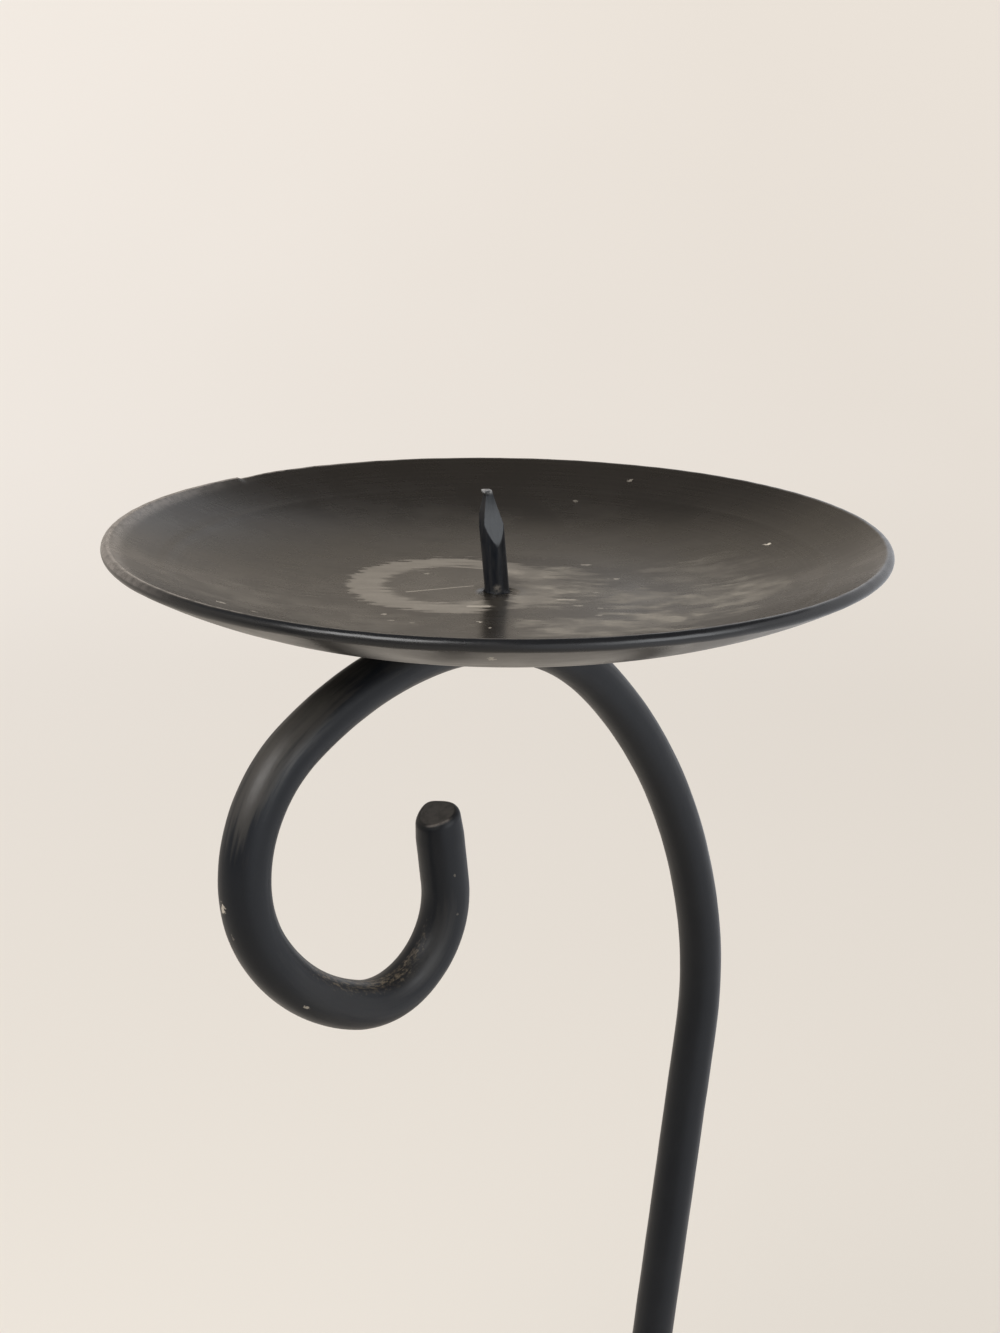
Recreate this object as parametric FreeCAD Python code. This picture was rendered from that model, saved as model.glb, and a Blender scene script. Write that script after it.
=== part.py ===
"""Double candle holder bent from round bar: two crook arms on bowed feet, each with a dish and a spike.

Frame: X runs along the two arms, Y across them, Z up. The origin is on the floor under the middle.
Lengths are in millimetres and angles in degrees.
"""
import FreeCAD, Part
import math
import os

from FreeCAD import Vector

# Round bar of the arms and feet
BAR_DIAMETER = 8.0
BAR_END_BEVEL = 0.8

# Arms: bend radii are to the bar's axis, in order from the bottom up to the end of the scroll
DISH_SPACING = 170.0
SWEEP_RADIUS = 105.0
STEM_LENGTH = 80.0
HIP_RADIUS = 67.5
HIP_ANGLE = 20.5
FLANK_RADIUS = 102.5
FLANK_ANGLE = 35.5
CREST_RADIUS = 52.0
CREST_ANGLE = 42.5
BROW_RADIUS = 60.5
BROW_ANGLE = 32.0
SHOULDER_RADIUS = 23.3
SHOULDER_ANGLE = 89.0
CHEEK_RADIUS = 36.4
CHEEK_ANGLE = 39.0
CURL_RADIUS = 14.6
CURL_ANGLE = 118.0
SCROLL_TIP_LENGTH = 12.7
CROWN_TO_DISH_AXIS = 10.0

# Bowed feet
FOOT_SPACING = 130.0
FOOT_BOW_RADIUS = 62.0
FOOT_BOW_ANGLE = 36.0
FOOT_LEG_LENGTH = 14.0
FOOT_TOE_RADIUS = 20.0
FOOT_TOE_LIFT = 32.0
FOOT_FLAT_DEPTH = 0.4

# Pressed dish with a square-sheared edge
DISH_RIM_RADIUS = 62.0
DISH_WALL_RADIUS = 83.0
DISH_RIM_SLOPE = 28.5
DISH_THICKNESS = 2.0

# Wire nail that stands through the dish as the candle's spike
NAIL_DIAMETER = 4.0
NAIL_HEIGHT = 17.0
NAIL_POINT_LENGTH = 6.2
NAIL_TIP_WIDTH = 1.5
NAIL_HEAD_DIAMETER = 8.0
NAIL_HEAD_THICKNESS = 1.0
NAIL_NECK_FLARE = 0.3
NAIL_HOLE_CLEARANCE = 0.1

# Weld beads
DISH_BEAD_RADIUS = 2.4
DISH_BEAD_LENGTH = 15.0
FOOT_BEAD_RADIUS = 2.2
FOOT_BEAD_LENGTH = 5.0
BUTT_BEAD_RADIUS = 2.0
BUTT_BEAD_HEIGHT = 1.2
SEAT_CLEARANCE = 0.05

# Sizes that follow from those above
BAR_RADIUS = BAR_DIAMETER / 2
STEM_LEAN = HIP_ANGLE + FLANK_ANGLE + CREST_ANGLE - 90.0
DISH_AXIS_X = DISH_SPACING / 2
CROWN_X = DISH_AXIS_X - CROWN_TO_DISH_AXIS


def sin(degrees):
    return math.sin(math.radians(degrees))


def cos(degrees):
    return math.cos(math.radians(degrees))


def bar_route(start, heading, steps):
    """Tangent runs (length, 0) and bends (radius, turn) in the XZ plane.

    A positive turn is anticlockwise with X to the right. Returns the edges and the points between them.
    """
    edges = []
    points = [start]
    for size, turn in steps:
        begin = points[-1]
        if turn == 0:
            end = begin + Vector(cos(heading), 0, sin(heading)) * size
            edges.append(Part.LineSegment(begin, end).toShape())
        else:
            side = math.copysign(1, turn)
            to_rim = Vector(sin(heading), 0, -cos(heading)) * (side * size)
            centre = begin - to_rim
            middle, end = (
                centre + Vector(sin(angle), 0, -cos(angle)) * (side * size)
                for angle in (heading + turn / 2, heading + turn)
            )
            edges.append(Part.Arc(begin, middle, end).toShape())
            heading += turn
        points.append(end)
    return edges, points


def round_bar(edges):
    """A solid round bar along joined edges."""
    path = Part.Wire(edges)
    start = path.OrderedVertexes[0].Point
    heading = edges[0].tangentAt(edges[0].FirstParameter)
    section = Part.Wire(Part.makeCircle(BAR_RADIUS, start, heading))
    bar = path.makePipeShell([section], True, False)
    swept = math.pi * BAR_RADIUS ** 2 * path.Length
    print(f"bar of {path.Length:.1f} mm, volume over section times length {bar.Volume / swept:.4f}")
    return bar


def bevel_end(bar, point):
    """Break the sharp edge of a sheared end."""
    rims = [
        edge for edge in bar.Edges
        if isinstance(edge.Curve, Part.Circle)
        and (edge.Curve.Center - point).Length < BAR_END_BEVEL
        and abs(edge.Curve.Radius - BAR_RADIUS) < BAR_END_BEVEL
    ]
    return bar.makeChamfer(BAR_END_BEVEL, rims)


def bead(begin, end, radius):
    """One round-ended weld bead."""
    along = end - begin
    body = Part.makeCylinder(radius, along.Length, begin, along)
    ends = [Part.makeSphere(radius, point) for point in (begin, end)]
    return body.fuse(ends)


def turned_about_z(shape, degrees):
    copy = shape.copy()
    copy.rotate(Vector(0, 0, 0), Vector(0, 0, 1), degrees)
    return copy


def foot_route():
    """The foot's start, heading and steps in the XZ plane, and the height of its axis at its crown."""
    toe_height = BAR_RADIUS - FOOT_FLAT_DEPTH
    bow_drop = (FOOT_BOW_RADIUS + FOOT_TOE_RADIUS) * (1 - cos(FOOT_BOW_ANGLE))
    crown_height = toe_height + bow_drop + FOOT_LEG_LENGTH * sin(FOOT_BOW_ANGLE)
    reach = (
        (FOOT_BOW_RADIUS + FOOT_TOE_RADIUS) * sin(FOOT_BOW_ANGLE)
        + FOOT_LEG_LENGTH * cos(FOOT_BOW_ANGLE)
        + FOOT_TOE_RADIUS * sin(FOOT_TOE_LIFT)
    )
    start = Vector(-reach, 0, toe_height + FOOT_TOE_RADIUS * (1 - cos(FOOT_TOE_LIFT)))
    toe = (FOOT_TOE_RADIUS, FOOT_TOE_LIFT + FOOT_BOW_ANGLE)
    leg = (FOOT_LEG_LENGTH, 0)
    bow = (FOOT_BOW_RADIUS, -2 * FOOT_BOW_ANGLE)
    return start, -FOOT_TOE_LIFT, [toe, leg, bow, leg, toe], crown_height


def arm_layout():
    """The arm's steps, its bottom run's height, where round the sweep a foot sits, and the crown's place."""
    rising = [
        (SWEEP_RADIUS, 90.0 - STEM_LEAN),
        (STEM_LENGTH, 0),
        (HIP_RADIUS, HIP_ANGLE),
        (FLANK_RADIUS, FLANK_ANGLE),
        (CREST_RADIUS, CREST_ANGLE),
    ]
    crook = [
        (BROW_RADIUS, BROW_ANGLE),
        (SHOULDER_RADIUS, SHOULDER_ANGLE),
        (CHEEK_RADIUS, CHEEK_ANGLE),
        (CURL_RADIUS, CURL_ANGLE),
        (SCROLL_TIP_LENGTH, 0),
    ]
    reach = bar_route(Vector(0, 0, 0), 0, rising)[1][-1]
    bottom_run = CROWN_X - reach.x
    round_foot = SWEEP_RADIUS + BAR_DIAMETER + SEAT_CLEARANCE
    foot_angle = math.degrees(math.asin(max(0, FOOT_SPACING / 2 - bottom_run) / round_foot))
    foot_crown_height = foot_route()[-1]
    sweep_centre_height = foot_crown_height + round_foot * cos(foot_angle)
    bottom_height = sweep_centre_height - SWEEP_RADIUS
    crown = Vector(CROWN_X, 0, bottom_height + reach.z)
    return [(bottom_run, 0)] + rising + crook, bottom_height, foot_angle, crown


def make_arm(steps, bottom_height):
    """The right arm: bottom run, sweep, stem and crook in one bar, ending in the scroll's sheared tip."""
    edges, points = bar_route(Vector(0, 0, bottom_height), 0, steps)
    bar = round_bar(edges)
    return bevel_end(bar, points[-1])


def make_foot():
    """The right foot: a bowed bar across the arms, with its toes turned up and ground flat underneath."""
    start, heading, steps, _ = foot_route()
    edges, points = bar_route(start, heading, steps)
    bar = round_bar(edges)
    for point in (points[0], points[-1]):
        bar = bevel_end(bar, point)
    span = bar.BoundBox.DiagonalLength
    floor = Part.makeBox(2 * span, 2 * span, span, Vector(-span, -span, -span))
    foot = turned_about_z(bar.cut(floor), 90)
    foot.translate(Vector(FOOT_SPACING / 2, 0, 0))
    return foot


def dish_heights(crown):
    """Underside and floor of the dish, which rides on the nail's head just above the arm's crown."""
    near_edge = max(0, CROWN_TO_DISH_AXIS - NAIL_HEAD_DIAMETER / 2)
    outer_radius = CREST_RADIUS + BAR_RADIUS
    fall = outer_radius - math.sqrt(outer_radius ** 2 - near_edge ** 2)
    underside = crown.z + BAR_RADIUS - fall + SEAT_CLEARANCE + NAIL_HEAD_THICKNESS
    return underside, underside + DISH_THICKNESS


def make_dish(underside, floor):
    """The right dish: flat floor, one sweeping wall, square-sheared edge and a hole for the nail's neck."""
    floor_radius = DISH_RIM_RADIUS - DISH_WALL_RADIUS * sin(DISH_RIM_SLOPE)
    wall_centre = Vector(floor_radius, 0, floor + DISH_WALL_RADIUS)
    hole_radius = NAIL_DIAMETER / 2 + NAIL_HOLE_CLEARANCE
    hole_top = Vector(hole_radius, 0, floor)
    hole_bottom = Vector(hole_radius + NAIL_NECK_FLARE, 0, underside)

    def on_wall(radius, slope):
        return wall_centre + Vector(sin(slope), 0, -cos(slope)) * radius

    def wall(radius):
        return Part.Arc(*(on_wall(radius, DISH_RIM_SLOPE * share) for share in (0, 0.5, 1)))

    inside = wall(DISH_WALL_RADIUS)
    outside = wall(DISH_WALL_RADIUS + DISH_THICKNESS)
    outline = Part.Wire([
        Part.LineSegment(hole_bottom, hole_top).toShape(),
        Part.LineSegment(hole_top, inside.StartPoint).toShape(),
        inside.toShape(),
        Part.LineSegment(inside.EndPoint, outside.EndPoint).toShape(),
        outside.toShape(),
        Part.LineSegment(outside.StartPoint, hole_bottom).toShape(),
    ])
    dish = Part.Face(outline).revolve(Vector(0, 0, 0), Vector(0, 0, 1), 360)
    dish.translate(Vector(DISH_AXIS_X, 0, 0))
    return dish


def make_nail(underside, floor):
    """The right spike: a wire nail with its head under the dish, a flared neck and a blunt diamond point."""
    radius = NAIL_DIAMETER / 2
    tip = floor + NAIL_HEIGHT
    point_start = tip - NAIL_POINT_LENGTH
    head = Part.makeCylinder(
        NAIL_HEAD_DIAMETER / 2, NAIL_HEAD_THICKNESS, Vector(0, 0, underside - NAIL_HEAD_THICKNESS)
    )
    neck = Part.makeCone(radius + NAIL_NECK_FLARE, radius, DISH_THICKNESS, Vector(0, 0, underside))
    shank = Part.makeCylinder(radius, NAIL_HEIGHT - NAIL_POINT_LENGTH, Vector(0, 0, floor))
    half_width = NAIL_TIP_WIDTH / 2
    facets = Part.makeWedge(
        -radius, 0, -radius, -half_width, -half_width,
        radius, NAIL_POINT_LENGTH, radius, half_width, half_width,
    )
    facets.rotate(Vector(0, 0, 0), Vector(1, 0, 0), 90)
    facets.translate(Vector(0, 0, point_start))
    point = Part.makeCylinder(radius, NAIL_POINT_LENGTH, Vector(0, 0, point_start)).common(facets)
    nail = head.fuse([neck, shank, point]).removeSplitter()
    nail.translate(Vector(DISH_AXIS_X, 0, 0))
    return nail


def make_dish_weld(crown, underside, neighbours):
    """Two beads between the dish's underside and the flanks of the bar, along the crown."""
    middle = crown.x + CROWN_TO_DISH_AXIS / 2
    beads = [
        bead(
            Vector(middle - DISH_BEAD_LENGTH / 2, side * BAR_RADIUS, underside - DISH_BEAD_RADIUS / 2),
            Vector(middle + DISH_BEAD_LENGTH / 2, side * BAR_RADIUS, underside - DISH_BEAD_RADIUS / 2),
            DISH_BEAD_RADIUS,
        )
        for side in (-1, 1)
    ]
    sheet = Part.makeCylinder(DISH_RIM_RADIUS, DISH_BEAD_RADIUS, Vector(DISH_AXIS_X, 0, underside))
    return beads[0].fuse(beads[1]).cut(neighbours + [sheet])


def make_foot_weld(foot_angle, neighbours):
    """Two beads in the grooves where the foot crosses under the arm."""
    gap = BAR_RADIUS + SEAT_CLEARANCE / 2
    foot_crown = Vector(FOOT_SPACING / 2, 0, foot_route()[-1])
    contact = foot_crown + Vector(-sin(foot_angle), 0, cos(foot_angle)) * gap
    along_arm = Vector(cos(foot_angle), 0, sin(foot_angle))
    half = Vector(0, FOOT_BEAD_LENGTH / 2, 0)
    beads = [
        bead(
            contact + along_arm * (side * BAR_RADIUS) - half,
            contact + along_arm * (side * BAR_RADIUS) + half,
            FOOT_BEAD_RADIUS,
        )
        for side in (-1, 1)
    ]
    return beads[0].fuse(beads[1]).cut(neighbours)


def make_butt_weld(bottom_height, arms):
    """The ring bead round the butt joint of the two arms."""
    ring = Part.makeTorus(
        BAR_RADIUS + BUTT_BEAD_HEIGHT - BUTT_BEAD_RADIUS,
        BUTT_BEAD_RADIUS,
        Vector(0, 0, bottom_height),
        Vector(1, 0, 0),
    )
    return ring.cut(arms)


def build():
    steps, bottom_height, foot_angle, crown = arm_layout()
    underside, floor = dish_heights(crown)
    arm = make_arm(steps, bottom_height)
    foot = make_foot()
    dish = make_dish(underside, floor)
    nail = make_nail(underside, floor)
    right_side = {
        "arm": arm,
        "foot": foot,
        "dish": dish,
        "spike": nail,
        "dish_weld": make_dish_weld(crown, underside, [arm, nail]),
        "foot_weld": make_foot_weld(foot_angle, [arm, foot]),
    }
    nodes = {f"right_{name}": shape for name, shape in right_side.items()}
    nodes.update({f"left_{name}": turned_about_z(shape, 180) for name, shape in right_side.items()})
    nodes["butt_weld"] = make_butt_weld(bottom_height, [nodes["right_arm"], nodes["left_arm"]])
    return nodes


os.makedirs("parts", exist_ok=True)
for node, shape in build().items():
    shape.exportStep(f"parts/{node}.step")
    print(f"{node}: {len(shape.Solids)} solids, valid {shape.isValid()}, {shape.Volume:.1f} mm3")
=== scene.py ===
"""Looks of the double candle holder: painted bent bar, pressed dishes, nail spikes and weld beads.

Lengths are in metres and angles in degrees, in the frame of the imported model: X runs along the two arms,
Y across them, Z up. Materials work in millimetres. Each piece of the right half is built in place; the
left half is the same piece turned half round, with its own wear.
"""
import math

import bpy
import numpy as np
from mathutils import Matrix, Vector, noise


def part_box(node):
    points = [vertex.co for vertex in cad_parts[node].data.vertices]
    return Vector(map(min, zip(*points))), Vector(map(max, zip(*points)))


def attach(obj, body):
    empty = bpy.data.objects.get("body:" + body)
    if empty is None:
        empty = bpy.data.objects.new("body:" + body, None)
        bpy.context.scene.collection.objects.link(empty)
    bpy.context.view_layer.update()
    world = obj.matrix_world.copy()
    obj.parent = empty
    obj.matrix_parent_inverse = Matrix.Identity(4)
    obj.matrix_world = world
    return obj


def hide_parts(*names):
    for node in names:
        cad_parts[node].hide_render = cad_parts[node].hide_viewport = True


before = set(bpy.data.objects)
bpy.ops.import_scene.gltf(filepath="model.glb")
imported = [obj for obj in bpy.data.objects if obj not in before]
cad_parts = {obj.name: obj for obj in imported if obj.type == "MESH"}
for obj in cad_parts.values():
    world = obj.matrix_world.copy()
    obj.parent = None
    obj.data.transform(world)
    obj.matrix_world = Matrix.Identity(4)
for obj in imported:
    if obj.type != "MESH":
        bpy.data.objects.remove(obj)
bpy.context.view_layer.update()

MM = 0.001
HALF_TURN = Matrix.Rotation(math.pi, 4, "Z")
SEED_STEP = (17.3, 5.1, 11.7)
ROUNDING_STEPS = 10

# Bar of the arms and feet. Its unevenness is given as the size and depth of the bumps.
BAR_RADIUS = 4.0 * MM
BAR_SIDES = 48
BAR_RING_STEP = 1.0 * MM
BAR_END_ROUNDING = 1.1 * MM
BAR_WAVES = (9.0 * MM, 0.05 * MM)
BAR_DENTS = (3.0 * MM, 0.02 * MM)

# Arm from the bottom up, and foot: tangent runs (length, 0) and bends (radius to the axis, turn)
ARM_STEPS = [
    (105.0 * MM, 81.5),
    (80.0 * MM, 0),
    (67.5 * MM, 20.5),
    (102.5 * MM, 35.5),
    (52.0 * MM, 42.5),
    (60.5 * MM, 32.0),
    (23.3 * MM, 89.0),
    (36.4 * MM, 39.0),
    (14.6 * MM, 118.0),
    (12.7 * MM, 0),
]
FOOT_TOE_LIFT = 32.0
FOOT_STEPS = [
    (20.0 * MM, 68.0),
    (14.0 * MM, 0),
    (62.0 * MM, -72.0),
    (14.0 * MM, 0),
    (20.0 * MM, 68.0),
]

# Sheared end of the scroll. Sides are angles round the bar from the inside of its bend, spreads radians,
# and the lip's place and width shares of the bar's radius.
SCROLL_END_SLANT = 13.0
SCROLL_END_TAPER = 0.35 * MM
SCROLL_END_BURR = 0.30 * MM
SCROLL_END_BURR_SIDE = 60.0
SCROLL_END_BURR_SPREAD = 0.55
SCROLL_END_TEAR = 0.85 * MM
SCROLL_END_TEAR_SIDE = 259.0
SCROLL_END_TEAR_SPREAD = 0.6
SCROLL_END_LIP = 0.86
SCROLL_END_LIP_WIDTH = 0.08

# Pressed dish
DISH_RIM_RADIUS = 62.0 * MM
DISH_WALL_RADIUS = 83.0 * MM
DISH_RIM_SLOPE = 28.5
DISH_THICKNESS = 2.0 * MM
DISH_EDGE_ROUNDING = 0.95 * MM
DISH_RIM_LIFT = 0.40 * MM
DISH_OUT_OF_ROUND = 0.30 * MM
DISH_NICK_DEPTH = 0.35 * MM
DISH_NICK_REACH = 2.0 * MM
DISH_PRESSING_RADIUS = 52.8 * MM
DISH_PRESSING_WIDTH = 0.8 * MM
DISH_PRESSING_RISE = 0.05 * MM
DISH_SHEAR_WIDTH = 1.2 * MM
DISH_SHEAR_WAVES = (3.0 * MM, 0.05 * MM)
DISH_HOLE_RADIUS = 2.1 * MM
DISH_LIP_WIDTH = 1.3 * MM
DISH_LIP_RISE = 0.25 * MM
DISH_FLOOR_RINGS = 12
DISH_WALL_RINGS = 56
DISH_SIDES = 600

# Nail spike
NAIL_RADIUS = 2.0 * MM
NAIL_HEIGHT = 16.9 * MM
NAIL_POINT_START = 7.0 * MM
NAIL_FACET_EDGE = 0.06 * MM
NAIL_RIDGE_WIDTH = 0.30 * MM
NAIL_FOOT_SWELL = 0.25 * MM
NAIL_FOOT_START = 0.1 * MM
NAIL_FOOT_HEIGHT = 0.7 * MM
NAIL_BURR = 0.32 * MM
NAIL_BURR_SIDE = 135.0
NAIL_BURR_DEPTH = 0.75 * MM
NAIL_BURR_RISE = 0.45 * MM
NAIL_TIP_CROWN = 0.15 * MM
NAIL_SHARP_ANGLE = 24.0
NAIL_WAX_HEIGHT = 1.1 * MM
NAIL_SHANK_RINGS = 36
NAIL_POINT_RINGS = 90
NAIL_SIDES = 128

# Weld beads
DISH_BEAD_RADIUS = 2.4 * MM
FOOT_BEAD_RADIUS = 2.2 * MM
FOOT_BEAD_LENGTH = 5.0 * MM
BUTT_BEAD_RADIUS = 2.0 * MM
BUTT_RING_RADIUS = 3.2 * MM
BUTT_RING_STEPS = 180
BUTT_BEAD_SIDES = 24
BEAD_SIDES = 40
BEAD_RING_STEP = 0.25 * MM
BEAD_DENTS = (2.0 * MM, 0.15 * MM)
RIPPLE_PITCH = 1.7 * MM
RIPPLE_DEPTH = 0.10

# Photograph's camera, placed from the middle of the right dish's rim
CAMERA_YAW = 45.5
CAMERA_PITCH = 16.91
CAMERA_ROLL = 0.69
CAMERA_DISTANCE = 314.3 * MM
CAMERA_HEIGHT = 72.9 * MM
CAMERA_SIDE = 0.6 * MM
CAMERA_LENS = 54.0
CAMERA_SENSOR = 36.0

# Stage and lamps
STAGE_FLOOR_RADIUS = 1.0
STAGE_COVE_RADIUS = 0.8
STAGE_WALL_HEIGHT = 1.7
STAGE_SIDES = 128
LAMP_DISTANCE = 1.1
ROOM_FADE = (0.48, 0.64)

# Linear colours, and the share of wax in its ring
BAR_BLACK = (0.0046, 0.0060, 0.0088, 1)
BAR_BLACK_WORN = (0.0070, 0.0084, 0.0112, 1)
DUST = (0.080, 0.073, 0.064, 1)
RUBBED_TAN = (0.18, 0.145, 0.10, 1)
CHIP_PALE = (0.42, 0.38, 0.32, 1)
END_BROWN = (0.094, 0.087, 0.081, 1)
DISH_BLACK = (0.0108, 0.0088, 0.0068, 1)
DISH_FILM = (0.205, 0.184, 0.152, 1)
WAX = (0.29, 0.26, 0.22, 1)
WAX_SHARE = 0.50
EDGE_BLACK = (0.0070, 0.0072, 0.0080, 1)
EDGE_GREY = (0.20, 0.18, 0.165, 1)
BARE_STEEL = (0.30, 0.30, 0.30, 1)
FACET_GREY_AND_HIGHLIGHT = (0.040, 0.044, 0.049, 1)
SHANK_BLACK = (0.0125, 0.0130, 0.0145, 1)
WELD_BLACK = (0.0060, 0.0062, 0.0068, 1)
BACKDROP = (0.29, 0.273, 0.252, 1)
FLOOR_GLOW = (0.510, 0.474, 0.427, 1)
WALL_GLOW = (0.590, 0.547, 0.499, 1)
WALL_GLOW_BRIGHT = (0.660, 0.618, 0.575, 1)
# What the backdrop shows in reflections: a painted reflection, with painted shade near the camera and painted
# cool light on the right.
MIRRORED_FLOOR = (0.400, 0.357, 0.306, 1)
MIRRORED_NEAR_SHADE = (0.17, 0.158, 0.142, 1)
MIRRORED_RIGHT_COOL_LIGHT = (0.68, 0.71, 0.77, 1)
MIRRORED_WALL_LOW = (0.405, 0.356, 0.308, 1)
MIRRORED_WALL_HIGH = (0.25, 0.22, 0.18, 1)
ROOM_LOW = (0.70, 0.66, 0.61, 1)
ROOM_HIGH = (0.082, 0.086, 0.094, 1)


def sin(degrees):
    return math.sin(math.radians(degrees))


def cos(degrees):
    return math.cos(math.radians(degrees))


def picture_right():
    return Vector((cos(CAMERA_YAW), -sin(CAMERA_YAW), 0))


def picture_away():
    return Vector((sin(CAMERA_YAW), cos(CAMERA_YAW), 0))


def middle_of(node):
    low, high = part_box(node)
    return (low + high) / 2


def wobble(points, size, amount, seed):
    """Smooth uneven offsets, one for each point, for bumps of that size."""
    shift = Vector([seed * step for step in SEED_STEP])
    flat = points.reshape(-1, 3)
    values = [noise.noise(Vector(point) / size + shift) for point in flat]
    return amount * np.array(values).reshape(points.shape[:-1])


def mesh_from_rings(name, rings, across=None, along=None, closed=False):
    """Quads over rows of rings. Rows that don't close get a pole at each end.

    across is the width of the surface map and along its length at each row, in metres.
    """
    rows, sides = rings.shape[:2]
    vertices = [tuple(point) for point in rings.reshape(-1, 3)]
    faces = []
    corners = []
    for row in range(rows if closed else rows - 1):
        here, ahead = row * sides, (row + 1) % rows * sides
        for side in range(sides):
            beside = (side + 1) % sides
            faces.append((here + side, here + beside, ahead + beside, ahead + side))
            corners += [(side, row), (side + 1, row), (side + 1, row + 1), (side, row + 1)]
    if not closed:
        for row, step in ((0, -1), (rows - 1, 1)):
            pole = len(vertices)
            vertices.append(tuple(rings[row].mean(axis=0)))
            for side in range(sides):
                pair = [(side, row), (side + 1, row)][::step]
                faces.append((pole, *(row * sides + s % sides for s, _ in pair)))
                corners += [(side + 0.5, row), *pair]
    mesh = bpy.data.meshes.new(name)
    mesh.from_pydata(vertices, [], faces)
    mesh.shade_smooth()
    if across is not None:
        layer = mesh.uv_layers.new(name="SurfaceMap")
        places = np.array([(across * side / sides, along[min(row, rows - 1)]) for side, row in corners])
        layer.uv.foreach_set("vector", places.astype(np.float32).ravel())
    return mesh


def add_values(mesh, name, values):
    """Stores one number for each vertex, for a material to read."""
    attribute = mesh.attributes.new(name, "FLOAT", "POINT")
    attribute.data.foreach_set("value", np.asarray(values, dtype=np.float32))


def join_meshes(name, meshes):
    """One mesh of several, as separate closed shells."""
    vertices, faces = [], []
    for mesh in meshes:
        first = len(vertices)
        vertices += [tuple(v.co) for v in mesh.vertices]
        faces += [tuple(first + i for i in polygon.vertices) for polygon in mesh.polygons]
        bpy.data.meshes.remove(mesh)
    joined = bpy.data.meshes.new(name)
    joined.from_pydata(vertices, [], faces)
    joined.shade_smooth()
    return joined


def place_piece(mesh, material, node, slot):
    """Shows a mesh in place of a CAD node."""
    piece = bpy.data.objects.new(mesh.name, mesh)
    bpy.context.scene.collection.objects.link(piece)
    mesh.materials.append(material)
    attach(piece, "root")
    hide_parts(node)


def bar_line(steps, heading=0.0):
    """Rows of X, Z, heading in radians and distance along tangent runs and bends in the XZ plane."""
    x, z, heading, travelled = 0.0, 0.0, math.radians(heading), 0.0
    line = [(x, z, heading, travelled)]
    for size, turn in steps:
        length = size * math.radians(abs(turn)) if turn else size
        pieces = math.ceil(length / BAR_RING_STEP)
        turn_step = math.radians(turn) / pieces
        chord = 2 * size * math.sin(abs(turn_step) / 2) if turn else length / pieces
        for _ in range(pieces):
            x += chord * math.cos(heading + turn_step / 2)
            z += chord * math.sin(heading + turn_step / 2)
            heading += turn_step
            travelled += length / pieces
            line.append((x, z, heading, travelled))
    return np.array(line)


def bar_stations(length):
    """Distances along a bar and the radius there, with rounded ends and flat end faces."""
    turns = np.radians(np.linspace(0, 90, ROUNDING_STEPS))
    inner = BAR_RADIUS - BAR_END_ROUNDING
    round_end = [
        (BAR_END_ROUNDING * (1 - math.sin(turn)), inner + BAR_END_ROUNDING * math.cos(turn)) for turn in turns
    ]
    face = [(0.0, inner * share) for share in (0.8, 0.6, 0.4, 0.2)]
    far_end = [(length - depth, radius) for depth, radius in round_end + face]
    near_end = [(depth, radius) for depth, radius in reversed(round_end + face)]
    count = math.ceil((length - 2 * BAR_END_ROUNDING) / BAR_RING_STEP)
    middle = np.linspace(BAR_END_ROUNDING, length - BAR_END_ROUNDING, count + 1)[1:-1]
    return np.array(near_end + [(place, BAR_RADIUS) for place in middle] + far_end)


def bump_round(angles, side, spread):
    """1 at one side, falling off smoothly round the bar."""
    beside = (angles - math.radians(side) + math.pi) % (2 * math.pi) - math.pi
    return np.exp(-(beside / spread) ** 2)


def scroll_end_form(along, radius, angles):
    """Shift along the bar and narrowing of the scroll's end: slanted, burred in front and torn up behind."""
    near_end = np.clip(1 - (along[-1] - along) / BAR_RADIUS, 0, 1)
    on_lip = near_end * np.exp(-((radius / BAR_RADIUS - SCROLL_END_LIP) / SCROLL_END_LIP_WIDTH) ** 2)
    out_from_axis = (near_end * radius)[:, None]
    shift = -math.tan(math.radians(SCROLL_END_SLANT)) * out_from_axis * np.cos(angles)
    burr = bump_round(angles, SCROLL_END_BURR_SIDE, SCROLL_END_BURR_SPREAD)
    tear = bump_round(angles, SCROLL_END_TEAR_SIDE, SCROLL_END_TEAR_SPREAD)
    shift += SCROLL_END_BURR * on_lip[:, None] * burr
    shift += SCROLL_END_TEAR * out_from_axis / BAR_RADIUS * tear
    taper = SCROLL_END_TAPER * out_from_axis / BAR_RADIUS
    return shift[..., None], taper[..., None]


def bar_mesh(name, line, seed, scroll_end=False):
    """A round bar along a line in the XZ plane, with the slight unevenness of bent and painted bar."""
    stations = bar_stations(line[-1, 3])
    along, radius = stations[:, 0], stations[:, 1]
    x, z, heading = (np.interp(along, line[:, 3], line[:, column]) for column in range(3))
    level = np.zeros_like(x)
    centre = np.stack([x, level, z], axis=-1)
    inward = np.stack([-np.sin(heading), level, np.cos(heading)], axis=-1)
    ahead = np.stack([np.cos(heading), level, np.sin(heading)], axis=-1)
    front = np.array([0.0, -1.0, 0.0])
    angles = np.linspace(0, 2 * math.pi, BAR_SIDES, endpoint=False)
    out = np.cos(angles)[None, :, None] * inward[:, None, :] + np.sin(angles)[None, :, None] * front
    rings = centre[:, None, :] + radius[:, None, None] * out
    uneven = wobble(rings, *BAR_WAVES, seed) + wobble(rings, *BAR_DENTS, seed + 1)
    rings += uneven[..., None] * out
    if scroll_end:
        shift, taper = scroll_end_form(along, radius, angles)
        rings += shift * ahead[:, None, :]
        rings -= taper * out
    mesh = mesh_from_rings(name, rings, 2 * math.pi * BAR_RADIUS, along)
    end = np.clip((BAR_RADIUS - radius) / BAR_END_ROUNDING, 0, 1)
    add_values(mesh, "end", np.concatenate([np.repeat(end, BAR_SIDES), [1, 1]]))
    return mesh


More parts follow.
